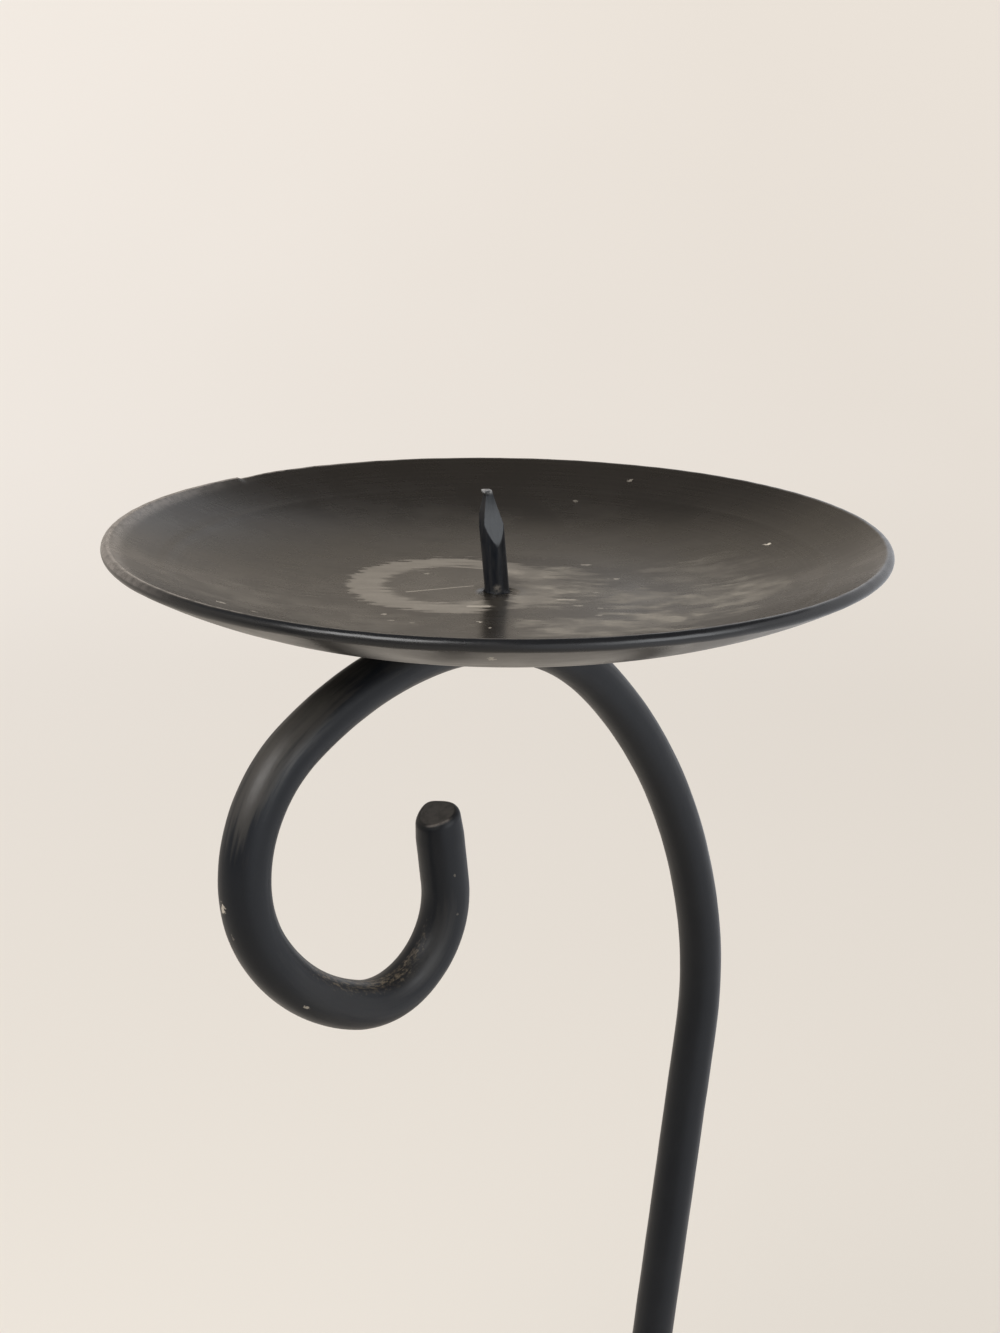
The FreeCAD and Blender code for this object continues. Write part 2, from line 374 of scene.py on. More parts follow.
def arm_bottom_run():
    """Length of the straight run from the butt joint to the start of the sweep."""
    low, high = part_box("right_arm")
    return high.x - low.x - BAR_RADIUS - bar_line(ARM_STEPS)[:, 0].max()


def arm_mesh(name, seed):
    """The right arm, set on the CAD arm's box."""
    low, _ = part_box("right_arm")
    line = bar_line([(arm_bottom_run(), 0)] + ARM_STEPS)
    mesh = bar_mesh(name, line, seed, scroll_end=True)
    mesh.transform(Matrix.Translation((low.x, 0, low.z + BAR_RADIUS)))
    return mesh


def foot_mesh(name, seed):
    """The right foot, set on the CAD foot's box, with its toes ground flat on the floor."""
    _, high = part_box("right_foot")
    line = bar_line(FOOT_STEPS, -FOOT_TOE_LIFT)
    mesh = bar_mesh(name, line, seed)
    top = line[:, 1].max() + BAR_RADIUS
    across = Matrix.Rotation(math.radians(90), 4, "Z")
    mesh.transform(across @ Matrix.Translation((-line[-1, 0] / 2, 0, high.z - top)))
    mesh.transform(Matrix.Translation((middle_of("right_foot").x, 0, 0)))
    for vertex in mesh.vertices:
        vertex.co.z = max(vertex.co.z, 0.0)
    return mesh


def dish_profile():
    """Radius, height above the floor and share of edge, from the hole out under the dish, round and back."""
    floor_radius = DISH_RIM_RADIUS - DISH_WALL_RADIUS * sin(DISH_RIM_SLOPE)

    def wall(offset, slope):
        radius = DISH_WALL_RADIUS + offset
        return floor_radius + radius * sin(slope), DISH_WALL_RADIUS - radius * cos(slope)

    last_slope = DISH_RIM_SLOPE - math.degrees(DISH_EDGE_ROUNDING / DISH_WALL_RADIUS)
    slopes = np.linspace(0, last_slope, DISH_WALL_RINGS)[:-1]
    floor = np.linspace(DISH_HOLE_RADIUS, floor_radius, DISH_FLOOR_RINGS)[:-1]
    under = [(r, -DISH_THICKNESS, 0) for r in floor] + [(*wall(DISH_THICKNESS, s), 0) for s in slopes]
    inside = [(*wall(0.0, s), 0) for s in reversed(slopes)] + [(r, 0.0, 0) for r in reversed(floor)]
    along_sheet = np.array([cos(DISH_RIM_SLOPE), sin(DISH_RIM_SLOPE)])
    edge = []
    for offset, begin in ((DISH_THICKNESS - DISH_EDGE_ROUNDING, -90), (DISH_EDGE_ROUNDING, 0)):
        corner = np.array(wall(offset, DISH_RIM_SLOPE)) - DISH_EDGE_ROUNDING * along_sheet
        for turn in np.linspace(begin, begin + 90, ROUNDING_STEPS):
            out = np.array([cos(DISH_RIM_SLOPE + turn), sin(DISH_RIM_SLOPE + turn)])
            edge.append((*(corner + DISH_EDGE_ROUNDING * out), cos(turn)))
    return np.array(under + edge + inside)


def dish_mesh(name, warp, nick, seed):
    """The right dish: a pressed form whose rim isn't true, with a nick in its edge and a faint pressing line.

    warp holds (waves round the rim, lift in phase, lift a quarter wave on), and nick the angles where it
    begins and ends.
    """
    profile = dish_profile()
    angles = np.linspace(0, 2 * math.pi, DISH_SIDES, endpoint=False)
    radius, height = profile[:, 0][:, None], profile[:, 1][:, None]
    reach = np.clip(radius / DISH_RIM_RADIUS, 0, 1)
    lift = DISH_RIM_LIFT * reach ** 10
    for waves, in_phase, quarter_on in warp:
        wave = in_phase * np.cos(waves * angles) + quarter_on * np.sin(waves * angles)
        lift = lift + reach ** waves * wave
    begin, end = (math.radians(angle) for angle in nick)
    dent = np.where((angles > begin) & (angles < end), (angles - begin) / (end - begin), 0.0)
    at_rim = np.clip((radius - DISH_RIM_RADIUS) / DISH_NICK_REACH + 1, 0, 1)
    lift = lift - DISH_NICK_DEPTH * at_rim * dent
    lift = lift + DISH_PRESSING_RISE * np.exp(-((radius - DISH_PRESSING_RADIUS) / DISH_PRESSING_WIDTH) ** 2)
    lip = DISH_LIP_RISE * np.exp(-((radius - DISH_HOLE_RADIUS) / DISH_LIP_WIDTH) ** 2)
    lift = lift + np.where(height > -DISH_THICKNESS / 2, lip, 0)
    around = radius - DISH_OUT_OF_ROUND * reach ** 2 * np.sin(2 * angles)
    rings = np.stack([around * np.cos(angles), around * np.sin(angles), height + lift], axis=-1)
    sheared = np.exp(-((radius - DISH_RIM_RADIUS) / DISH_SHEAR_WIDTH) ** 2)
    rings[..., 2] += sheared * wobble(rings, *DISH_SHEAR_WAVES, seed)
    mesh = mesh_from_rings(name, rings, closed=True)
    add_values(mesh, "edge", np.repeat(profile[:, 2], DISH_SIDES))
    low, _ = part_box("right_dish")
    mesh.transform(Matrix.Translation((middle_of("right_dish").x, 0, low.z + DISH_THICKNESS)))
    return mesh


def nail_facets(heights, angles, facets, turned):
    """Radius that the nearest facet leaves, and its wear and painted highlight, at each height and angle.

    facets holds (height above the dish's floor where it starts, half width at the tip, bow, wear) for the
    sides that face +X, +Y, -X and -Y before the nail is turned about its axis. The larger the bow, the more
    hollow the facet. The wear is partly painted light: a lit facet is painted lighter as a painted highlight,
    a shaded one is kept black, and ridges get a pale line that is partly a painted highlight.
    """
    limits = []
    for side, (start, tip_width, bow, _) in enumerate(facets):
        share = np.clip((heights - start) / (NAIL_HEIGHT - start), 0, 1)
        half_angle = math.acos(tip_width / NAIL_RADIUS) * (1 - (1 - share) ** bow)
        width = NAIL_RADIUS * np.cos(half_angle)
        facing = np.cos(angles - math.radians(90 * side + turned))
        limits.append(np.where(facing > 0.05, width[:, None] / np.maximum(facing, 0.05), 1.0))
    nearest, second = np.sort(limits, axis=0)[:2]
    cut = np.clip((NAIL_RADIUS - nearest) / NAIL_FACET_EDGE, 0, 1)
    ridge = np.clip(1.2 - (second - nearest) / NAIL_RIDGE_WIDTH, 0, 1)
    # Grey share of each facet: partly wear and partly painted light, setting which facet looks lit and which
    # shaded; ridges get a pale line, partly a painted highlight.
    wear = np.array([facet[-1] for facet in facets])[np.argmin(limits, axis=0)]
    return nearest, cut * np.maximum(wear, 0.6 * ridge)


def nail_mesh(name, facets, turned, lean, seed):
    """The right spike: a nail with an uneven diamond point, a burr at the tip and paint gathered at its foot.

    lean is the tip's shift per height.
    """
    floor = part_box("right_dish")[0].z + DISH_THICKNESS
    shank = np.linspace(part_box("right_spike")[0].z - floor, NAIL_POINT_START, NAIL_SHANK_RINGS)
    point = np.linspace(NAIL_POINT_START, NAIL_HEIGHT, NAIL_POINT_RINGS)[1:]
    heights = np.concatenate([shank, point])
    angles = np.linspace(0, 2 * math.pi, NAIL_SIDES, endpoint=False)
    foot = np.clip(1 - (heights - NAIL_FOOT_START) / NAIL_FOOT_HEIGHT, 0, 1)
    radius = NAIL_RADIUS + (NAIL_FOOT_SWELL * foot ** 2)[:, None] * (1 + 0.4 * np.sin(3 * angles + seed))
    nearest, worn = nail_facets(heights, angles, facets, turned)
    radius = np.minimum(radius, nearest)
    burr = np.clip((heights - NAIL_HEIGHT + NAIL_BURR_DEPTH) / NAIL_BURR_RISE, 0, 1)
    burr_side = np.cos(angles - math.radians(NAIL_BURR_SIDE))
    radius += (NAIL_BURR * burr)[:, None] * np.clip(0.4 + 1.1 * burr_side, 0, None)
    out = np.stack([np.cos(angles), np.sin(angles), np.zeros(NAIL_SIDES)], axis=-1)
    rings = radius[..., None] * out
    rings[..., 2] = heights[:, None]
    tip = rings[-1].mean(axis=0)
    crown = [(share, NAIL_TIP_CROWN * (1 - share)) for share in (0.93, 0.75, 0.45, 0.2)]
    caps = np.stack([tip + share * (rings[-1] - tip) + (0, 0, rise) for share, rise in crown])
    rings = np.concatenate([rings, caps])
    tilt = np.clip(rings[..., 2], 0, None)
    rings[..., 0] += tilt * lean[0]
    rings[..., 1] += tilt * lean[1]
    mesh = mesh_from_rings(name, rings)
    # Grey share: facet wear and painted highlight; the tip's cap counts as fully worn.
    add_values(mesh, "worn", np.concatenate([worn.ravel(), np.ones(caps.shape[0] * NAIL_SIDES + 2)]))
    mesh.set_sharp_from_angle(angle=math.radians(NAIL_SHARP_ANGLE))
    mesh.transform(Matrix.Translation((middle_of("right_spike").x, 0, floor)))
    return mesh


def ripple(along, angles, seed):
    """Scalloped ripples of a weld bead, bowed across it, as a share of its radius."""
    phase = (along + 0.4 * RIPPLE_PITCH * np.cos(angles)) / RIPPLE_PITCH + seed
    return RIPPLE_DEPTH * (np.abs(np.sin(math.pi * phase)) - 0.6)


def bead_mesh(begin, end, radius, seed):
    """A straight weld bead with round ends."""
    begin, end = np.array(begin), np.array(end)
    length = np.linalg.norm(end - begin)
    ahead = (end - begin) / length
    side = np.cross(ahead, (0, 0, 1))
    up = np.cross(side, ahead)
    turns = np.radians(np.linspace(8, 90, 9))
    round_end = [(-radius * math.cos(turn), radius * math.sin(turn)) for turn in turns]
    middle = [(place, radius) for place in np.arange(BEAD_RING_STEP, length, BEAD_RING_STEP)]
    far_end = [(length - place, size) for place, size in reversed(round_end)]
    stations = np.array(round_end + middle + far_end)
    angles = np.linspace(0, 2 * math.pi, BEAD_SIDES, endpoint=False)
    out = np.cos(angles)[:, None] * up + np.sin(angles)[:, None] * side
    grown = stations[:, 1][:, None] * (1 + ripple(stations[:, 0][:, None], angles, seed))
    rings = begin + stations[:, 0][:, None, None] * ahead + grown[..., None] * out
    rings += wobble(rings, *BEAD_DENTS, seed)[..., None] * out
    return mesh_from_rings("bead", rings)


def dish_beads_mesh(name, seed):
    """The two beads between the right dish and its arm."""
    low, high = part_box("right_dish_weld")
    height = high.z - DISH_BEAD_RADIUS / 2
    beads = [
        bead_mesh(
            (low.x + DISH_BEAD_RADIUS, side * BAR_RADIUS, height),
            (high.x - DISH_BEAD_RADIUS, side * BAR_RADIUS, height),
            DISH_BEAD_RADIUS,
            seed + side * 0.3,
        )
        for side in (-1, 1)
    ]
    return join_meshes(name, beads)


def foot_beads_mesh(name, seed):
    """The two beads in the grooves where the right foot crosses under its arm."""
    middle = middle_of("right_foot")
    crown = Vector((middle.x, 0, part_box("right_foot")[1].z - BAR_RADIUS))
    reach = ARM_STEPS[0][0] + 2 * BAR_RADIUS
    slope = math.asin((middle.x - arm_bottom_run()) / reach)
    contact = crown + BAR_RADIUS * Vector((-math.sin(slope), 0, math.cos(slope)))
    along_arm = BAR_RADIUS * Vector((math.cos(slope), 0, math.sin(slope)))
    half = Vector((0, FOOT_BEAD_LENGTH / 2, 0))
    beads = [
        bead_mesh(
            contact + side * along_arm - half,
            contact + side * along_arm + half,
            FOOT_BEAD_RADIUS,
            seed + side * 0.3,
        )
        for side in (-1, 1)
    ]
    return join_meshes(name, beads)


def butt_bead_mesh(name, seed):
    """The ring bead round the joint of the two arms."""
    sides = np.linspace(0, 2 * math.pi, BUTT_BEAD_SIDES, endpoint=False)
    turns = np.linspace(0, 2 * math.pi, BUTT_RING_STEPS, endpoint=False)
    ripples = round(2 * math.pi * (BUTT_RING_RADIUS + BUTT_BEAD_RADIUS) / RIPPLE_PITCH)
    along = turns / (2 * math.pi) * ripples * RIPPLE_PITCH
    grown = BUTT_BEAD_RADIUS * (1 + ripple(along[:, None], sides, seed))
    around = BUTT_RING_RADIUS + grown * np.cos(sides)
    across = -grown * np.sin(sides)
    turns = turns[:, None]
    rings = np.stack([across, around * np.cos(turns), around * np.sin(turns)], axis=-1)
    mesh = mesh_from_rings(name, rings, closed=True)
    mesh.transform(Matrix.Translation((0, 0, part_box("right_arm")[0].z + BAR_RADIUS)))
    return mesh


class Paint:
    """A material made of nodes, in millimetres. What varies is linked; what doesn't is set on its socket."""

    def __init__(self, name):
        self.material = bpy.data.materials.new(name)
        self.material.use_nodes = True
        self.nodes = self.material.node_tree.nodes
        self.shader = self.nodes["Principled BSDF"]
        place = self.add("ShaderNodeTexCoord").outputs["Object"]
        self.place = self.vector("MULTIPLY", place, (1 / MM, 1 / MM, 1 / MM))
        facing = self.add("ShaderNodeNewGeometry").outputs["Normal"]
        self.upward = self.part(facing, "Z")

    def put(self, socket, value):
        if isinstance(value, bpy.types.NodeSocket):
            self.material.node_tree.links.new(value, socket)
        else:
            socket.default_value = value

    def add(self, kind, inputs=None, **settings):
        node = self.nodes.new(kind)
        for name, value in settings.items():
            setattr(node, name, value)
        for socket, value in (inputs or {}).items():
            self.put(node.inputs[socket], value)
        return node

    def calc(self, operation, first, second=0.0):
        return self.add("ShaderNodeMath", {0: first, 1: second}, operation=operation).outputs[0]

    def times(self, *values):
        product = values[0]
        for value in values[1:]:
            product = self.calc("MULTIPLY", product, value)
        return product

    def plus(self, *values):
        total = values[0]
        for value in values[1:]:
            total = self.calc("ADD", total, value)
        return total

    def vector(self, operation, first, second):
        return self.add("ShaderNodeVectorMath", {0: first, 1: second}, operation=operation).outputs["Vector"]

    def length(self, vector):
        return self.add("ShaderNodeVectorMath", {0: vector}, operation="LENGTH").outputs["Value"]

    def dot(self, first, second):
        inputs = {0: first, 1: second}
        return self.add("ShaderNodeVectorMath", inputs, operation="DOT_PRODUCT").outputs["Value"]

    def part(self, vector, axis):
        return self.add("ShaderNodeSeparateXYZ", {0: vector}).outputs[axis]

    def attribute(self, name):
        return self.add("ShaderNodeAttribute", attribute_name=name).outputs["Fac"]

    def noise(self, size, detail=3.0, place=None):
        inputs = {"Vector": place or self.place, "Scale": 1 / size, "Detail": detail, "Roughness": 0.55}
        return self.add("ShaderNodeTexNoise", inputs).outputs["Fac"]

    def band(self, value, low, high, top=1.0, bottom=0.0):
        """bottom below low and top above high, smooth between; with low above high it runs the other way."""
        inputs = {"Value": value, "From Min": low, "From Max": high, "To Min": bottom, "To Max": top}
        return self.add("ShaderNodeMapRange", inputs, interpolation_type="SMOOTHSTEP").outputs["Result"]

    def mix(self, share, first, second):
        return self.add("ShaderNodeMix", {0: share, 6: first, 7: second}, data_type="RGBA").outputs[2]

    def marks(self, plane, spots, softness=0.2):
        """Share covered by small ragged spots (x, y, half width, half height, strength) on a plane."""
        ragged = self.band(self.noise(0.6, 2.0), 0.2, 0.8, 0.9, -0.3)
        covered = 0.0
        for x, y, half_width, half_height, strength in spots:
            offset = self.vector("SUBTRACT", plane, (x, y, 0))
            distance = self.length(self.vector("DIVIDE", offset, (half_width, half_height, 1)))
            inside = self.band(self.calc("ADD", distance, ragged), 1 + softness, 1 - softness, strength)
            covered = self.calc("MAXIMUM", inside, covered)
        return covered

    def scratch(self, plane, begin, end, half_width, ragged=0.0):
        """A thin straight scratch between two points on a plane, with its edge moved by ragged."""
        begin, end = Vector((*begin, 0)), Vector((*end, 0))
        ahead = end - begin
        offset = self.vector("SUBTRACT", plane, begin)
        reach = self.dot(offset, ahead / ahead.length_squared)
        share = self.add("ShaderNodeClamp", {0: reach}).outputs[0]
        scaled = {0: ahead, "Scale": share}
        nearest = self.add("ShaderNodeVectorMath", scaled, operation="SCALE").outputs["Vector"]
        distance = self.calc("ADD", self.length(self.vector("SUBTRACT", offset, nearest)), ragged)
        return self.band(distance, half_width, 0.3 * half_width)

    def finish(self, colour, roughness, height, depth, specular):
        """Links the surface to the shader. depth is that of the bumps, in metres."""
        bump = self.add("ShaderNodeBump", {"Height": height, "Distance": depth, "Strength": 1.0})
        self.put(self.shader.inputs["Base Color"], colour)
        self.put(self.shader.inputs["Roughness"], roughness)
        self.put(self.shader.inputs["Normal"], bump.outputs["Normal"])
        self.put(self.shader.inputs["Specular IOR Level"], specular)
        return self.material


def bar_paint(name, chips, rubbed, dust_and_sheen):
    """Satin black paint on bar, worn on the ends, with a painted highlight on the worn front edge of the end
    faces.

    chips, rubbed and the dust-and-sheen patches are spots (along the bar, degrees round it, half length, half
    width, strength). The dust-and-sheen patches are dust colour: partly real dust, partly painted sheen where
    soft highlights fall.
    """
    paint = Paint(name)
    map_place = paint.add("ShaderNodeUVMap", uv_map="SurfaceMap").outputs["UV"]
    plane = paint.vector("MULTIPLY", map_place, (1 / MM, 1 / MM, 0))
    round_bar = 2 * math.pi * BAR_RADIUS / MM / 360

    def spots(places):
        return [
            (angle * round_bar, along, wide, long, strength) for along, angle, long, wide, strength in places
        ]

    streaks = paint.noise(1.0, 3.0, paint.vector("MULTIPLY", plane, (1.2, 0.09, 0)))
    brushed = paint.noise(1.0, 4.0, paint.vector("MULTIPLY", plane, (2.6, 0.7, 0)))
    film = paint.noise(14, 4.0)
    peel = paint.noise(0.8, 3.0)
    colour = paint.mix(paint.band(film, 0.3, 0.7), BAR_BLACK, BAR_BLACK_WORN)
    settled = paint.times(
        paint.band(paint.upward, 0.1, 0.95),
        paint.band(paint.noise(4, 5.0), 0.38, 0.75),
        paint.band(brushed, 0.25, 0.75, 0.55, 0.1),
    )
    colour = paint.mix(paint.times(settled, 0.4), colour, DUST)
    # Dust and painted sheen: dust colour in patches, partly real dust and partly standing in for soft
    # highlights on the bar.
    dust_and_sheen_share = paint.times(
        patch_share(paint, plane, paint.band(streaks, 0.25, 0.75, 0.35, -0.25), spots(dust_and_sheen)),
        paint.band(streaks, 0.25, 0.7, 1.0, 0.6),
    )
    colour = paint.mix(dust_and_sheen_share, colour, DUST)
    bare = paint.times(
        paint.marks(plane, spots(rubbed), 0.9),
        paint.band(brushed, 0.42, 0.58),
        paint.band(peel, 0.30, 0.55),
    )
    colour = paint.mix(bare, colour, RUBBED_TAN)
    chipped = paint.marks(plane, spots(chips))
    end = paint.attribute("end")
    end_share = paint.times(
        paint.band(end, 0.6, 0.95),
        paint.band(paint.noise(1.5, 4.0), 0.25, 0.7, 1.0, 0.5),
    )
    colour = paint.mix(end_share, colour, END_BROWN)
    # Edge wear and painted highlight: the rim of each end face is painted pale grey, most on the side round
    # the bar that faces the front, where a highlight lies on the worn edge.
    from_front = paint.calc("ABSOLUTE", paint.calc("SUBTRACT", paint.part(plane, "X"), 50 * round_bar))
    end_edge_wear_and_highlight = paint.times(
        paint.band(end, 0.25, 0.5),
        paint.band(end, 0.9, 0.6),
        paint.band(peel, 0.3, 0.6, 0.95, 0.5),
        paint.band(from_front, 3.4, 1.6, 1.0, 0.1),
    )
    colour = paint.mix(end_edge_wear_and_highlight, colour, EDGE_GREY)
    colour = paint.mix(chipped, colour, CHIP_PALE)
    roughness = paint.plus(
        paint.band(film, 0.3, 0.7, 0.42, 0.34),
        paint.band(streaks, 0.3, 0.7, 0.05, -0.04),
        paint.times(settled, 0.35),
    )
    height = paint.calc("SUBTRACT", peel, paint.times(chipped, 2.0))
    return paint.finish(colour, roughness, height, depth=0.012 * MM, specular=0.28)


def patch_share(paint, plane, ragged, patches):
    """Share covered by soft ragged patches (x, y, half width, half depth, strength) on a plane."""
    covered = 0.0
    for x, y, half_width, half_depth, strength in patches:
        offset = paint.vector("SUBTRACT", plane, (x, y, 0))
        distance = paint.length(paint.vector("DIVIDE", offset, (half_width, half_depth, 1)))
        share = paint.band(paint.calc("ADD", distance, ragged), 1.25, 0.45, strength)
        covered = paint.calc("MAXIMUM", covered, share)
    return covered


def wax_ring_share(paint, plane, streaks, ring):
    """Ring left by a candle, (x, y, outer radius, width), and a film inside it. It is faint at large x."""
    x, y, outer, width = ring
    from_middle = paint.vector("SUBTRACT", plane, (x, y, 0))
    distance = paint.calc("ADD", paint.length(from_middle), paint.band(streaks, 0.25, 0.75, 1.5, -1.5))
    across = paint.part(from_middle, "X")
    return paint.times(
        paint.band(distance, outer, outer - 0.5),
        paint.band(distance, outer - width - 1.4, outer - width + 0.6, 1.0, 0.16),
        paint.band(across, 17, 3, 1.0, 0.25),
        paint.band(streaks, 0.25, 0.65, 1.05, 0.65),
    )


def dish_paint(name, node, wiped_along, wax_ring, specks, scratches, smears, strokes, worn_side):
    """Glossy brown-black paint with a wax ring, films of wax and dust, and wear on the edge.

    Places are in millimetres from the dish's axis, with x along the direction in which it was wiped. smears
    are patches of film, strokes are (begin, end, half width, strength) wiped clean, and worn_side is the
    direction in which the edge is most worn.
    """
    paint = Paint(name)
    middle = middle_of(node) / MM
    local = paint.vector("SUBTRACT", paint.place, (middle.x, middle.y, 0))
    level = paint.vector("MULTIPLY", local, (1, 1, 0))
    turn = {"Vector": level, "Angle": math.radians(wiped_along)}
    plane = paint.add("ShaderNodeVectorRotate", turn, rotation_type="Z_AXIS").outputs[0]
    radius = paint.length(level)
    edge = paint.attribute("edge")
    inside = paint.times(paint.band(paint.upward, 0.80, 0.86), paint.band(edge, 0.3, 0.1))
    streaks = paint.noise(1.0, 4.0, paint.vector("MULTIPLY", plane, (0.13, 1.0, 1.0)))
    wide_streaks = paint.noise(2.6, 4.0, paint.vector("MULTIPLY", plane, (0.30, 1.0, 1.0)))
    turned = paint.noise(0.5, 3.0, paint.add("ShaderNodeCombineXYZ", {0: radius}).outputs[0])
    cloud = paint.noise(9, 5.0)
    fine = paint.noise(0.9, 4.0)
    ragged = paint.plus(
        paint.band(wide_streaks, 0.25, 0.75, 0.55, -0.45),
        paint.band(streaks, 0.3, 0.7, 0.2, -0.2),
    )
    kept = 1.0
    for begin, end, half_width, strength in strokes:
        stroke = paint.scratch(plane, begin, end, half_width, paint.times(ragged, half_width))
        kept = paint.times(kept, paint.band(stroke, 0, 1, 1 - strength, 1.0))
    kept = paint.times(kept, inside)
    haze = paint.times(paint.band(cloud, 0.35, 0.70, 0.05, 0.0), paint.band(radius, 56, 40))
    film = paint.calc("MAXIMUM", haze, patch_share(paint, plane, ragged, smears))
    mottle = paint.noise(4.5, 5.0, paint.vector("MULTIPLY", plane, (0.62, 1.0, 1.0)))
    mottled = paint.band(mottle, 0.38, 0.64, 1.2, 0.3)
    grain = paint.band(fine, 0.32, 0.68, 1.12, 0.82)
    film = paint.times(film, kept, mottled, grain, paint.band(streaks, 0.25, 0.75, 1.0, 0.75))
    ring = paint.times(wax_ring_share(paint, plane, streaks, wax_ring), kept, WAX_SHARE)
    marked = paint.marks(plane, specks)
    for begin, end, half_width, strength in scratches:
        scratched = paint.times(paint.scratch(plane, begin, end, half_width), strength)
        marked = paint.calc("MAXIMUM", marked, scratched)
    colour = paint.mix(paint.band(turned, 0.3, 0.7, 0.03), DISH_BLACK, DISH_FILM)
    colour = paint.mix(film, colour, DISH_FILM)
    colour = paint.mix(ring, colour, WAX)
    colour = paint.mix(marked, colour, CHIP_PALE)
    colour = paint.mix(paint.band(edge, 0.15, 0.4), colour, EDGE_BLACK)
    worn = paint.dot(level, (*worn_side, 0))
    corner = paint.times(
        paint.band(edge, 0.05, 0.2),
        paint.band(edge, 0.75, 0.45),
        paint.band(paint.upward, 0.3, 0.6),
        paint.band(worn, 10, 55, 0.8, 0.12),
        paint.band(paint.noise(2.0, 4.0), 0.32, 0.55),
    )
    colour = paint.mix(corner, colour, EDGE_GREY)
    rubbed = paint.times(
        paint.band(worn, 44, 60),
        paint.band(radius, 59.0, 61.0),
        paint.band(paint.upward, 0.1, 0.45),
        paint.band(paint.noise(1.2, 4.0), 0.35, 0.6, 0.55, 0.3),
    )
    colour = paint.mix(rubbed, colour, EDGE_GREY)
    underneath = paint.times(paint.band(paint.upward, -0.3, -0.6), paint.band(edge, 0.3, 0.1))
    roughness = paint.plus(
        paint.band(cloud, 0.3, 0.7, 0.31, 0.23),
        paint.band(streaks, 0.3, 0.7, 0.015, -0.015),
        paint.times(paint.plus(ring, film), 0.25),
        paint.times(underneath, 0.04),
    )
    height = paint.plus(paint.times(turned, 0.10), paint.times(fine, 0.35), paint.times(streaks, 0.06), ring)
    return paint.finish(colour, roughness, height, depth=0.010 * MM, specular=0.5)


def nail_paint(name):
    """Black paint on a nail, thin and grey on the facets and gone at the tip, with wax at the foot; the grey
    is lightest on the lit facet, a painted highlight, and the shaded facet stays black.
    """
    paint = Paint(name)
    worn = paint.attribute("worn")
    height = paint.part(paint.place, "Z")
    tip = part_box("right_spike")[1].z / MM
    blob = middle_of("right_spike") - NAIL_RADIUS * picture_away()
    blob.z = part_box("right_dish")[0].z + DISH_THICKNESS + NAIL_WAX_HEIGHT
    from_blob = paint.length(paint.vector("SUBTRACT", paint.place, blob / MM))
    fine = paint.noise(0.5, 4.0)
    drawn = paint.noise(1.0, 3.0, paint.vector("MULTIPLY", paint.place, (2.0, 2.0, 0.25)))
    colour = paint.mix(paint.band(drawn, 0.35, 0.65), BAR_BLACK, SHANK_BLACK)
    # Facet grey: thin paint and painted highlight, by each facet's share.
    colour = paint.mix(paint.times(worn, paint.band(drawn, 0.32, 0.66, 1.0, 0.45)), colour, FACET_GREY_AND_HIGHLIGHT)
    waxy = paint.times(paint.band(from_blob, 0.95, 0.25), paint.band(fine, 0.30, 0.60, 0.35))
    colour = paint.mix(waxy, colour, WAX)
    bare = paint.times(paint.band(height, tip - 0.85, tip - 0.4), paint.band(fine, 0.35, 0.65, 0.75, 0.15))
    colour = paint.mix(bare, colour, BARE_STEEL)
    roughness = paint.band(drawn, 0.3, 0.7, 0.40, 0.28)
    return paint.finish(colour, roughness, paint.plus(fine, drawn), depth=0.012 * MM, specular=0.28)


def weld_paint(name):
    """Black paint over weld beads, uneven and with dust in the ripples."""
    paint = Paint(name)
    cloud = paint.noise(3.0, 4.0)
    fine = paint.noise(0.5, 4.0)
    colour = paint.mix(paint.times(paint.band(cloud, 0.5, 0.8), 0.3), WELD_BLACK, DUST)
    colour = paint.mix(paint.band(fine, 0.70, 0.76, 0.5), colour, RUBBED_TAN)
    roughness = paint.band(cloud, 0.3, 0.7, 0.55, 0.38)
    return paint.finish(colour, roughness, paint.plus(fine, cloud), depth=0.03 * MM, specular=0.35)


def make_camera():
    """The photograph's camera."""
    low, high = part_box("right_dish")
    rim_middle = Vector(((low.x + high.x) / 2, (low.y + high.y) / 2, high.z))
    right, ahead, up = picture_right(), picture_away(), Vector((0, 0, 1))
    place = rim_middle + CAMERA_SIDE * right - CAMERA_DISTANCE * ahead + CAMERA_HEIGHT * up
    looking = cos(CAMERA_PITCH) * ahead - sin(CAMERA_PITCH) * up
    upright = sin(CAMERA_PITCH) * ahead + cos(CAMERA_PITCH) * up
    across = cos(CAMERA_ROLL) * right + sin(CAMERA_ROLL) * upright
    over = cos(CAMERA_ROLL) * upright - sin(CAMERA_ROLL) * right
    data = bpy.data.cameras.new("camera")
    data.lens = CAMERA_LENS
    data.sensor_width = CAMERA_SENSOR
    data.clip_start = 0.01
    camera = bpy.data.objects.new("camera", data)
    turn = Matrix((across, over, -looking)).transposed()
    camera.matrix_world = Matrix.Translation(place) @ turn.to_4x4()
    bpy.context.scene.collection.objects.link(camera)
    bpy.context.scene.camera = camera


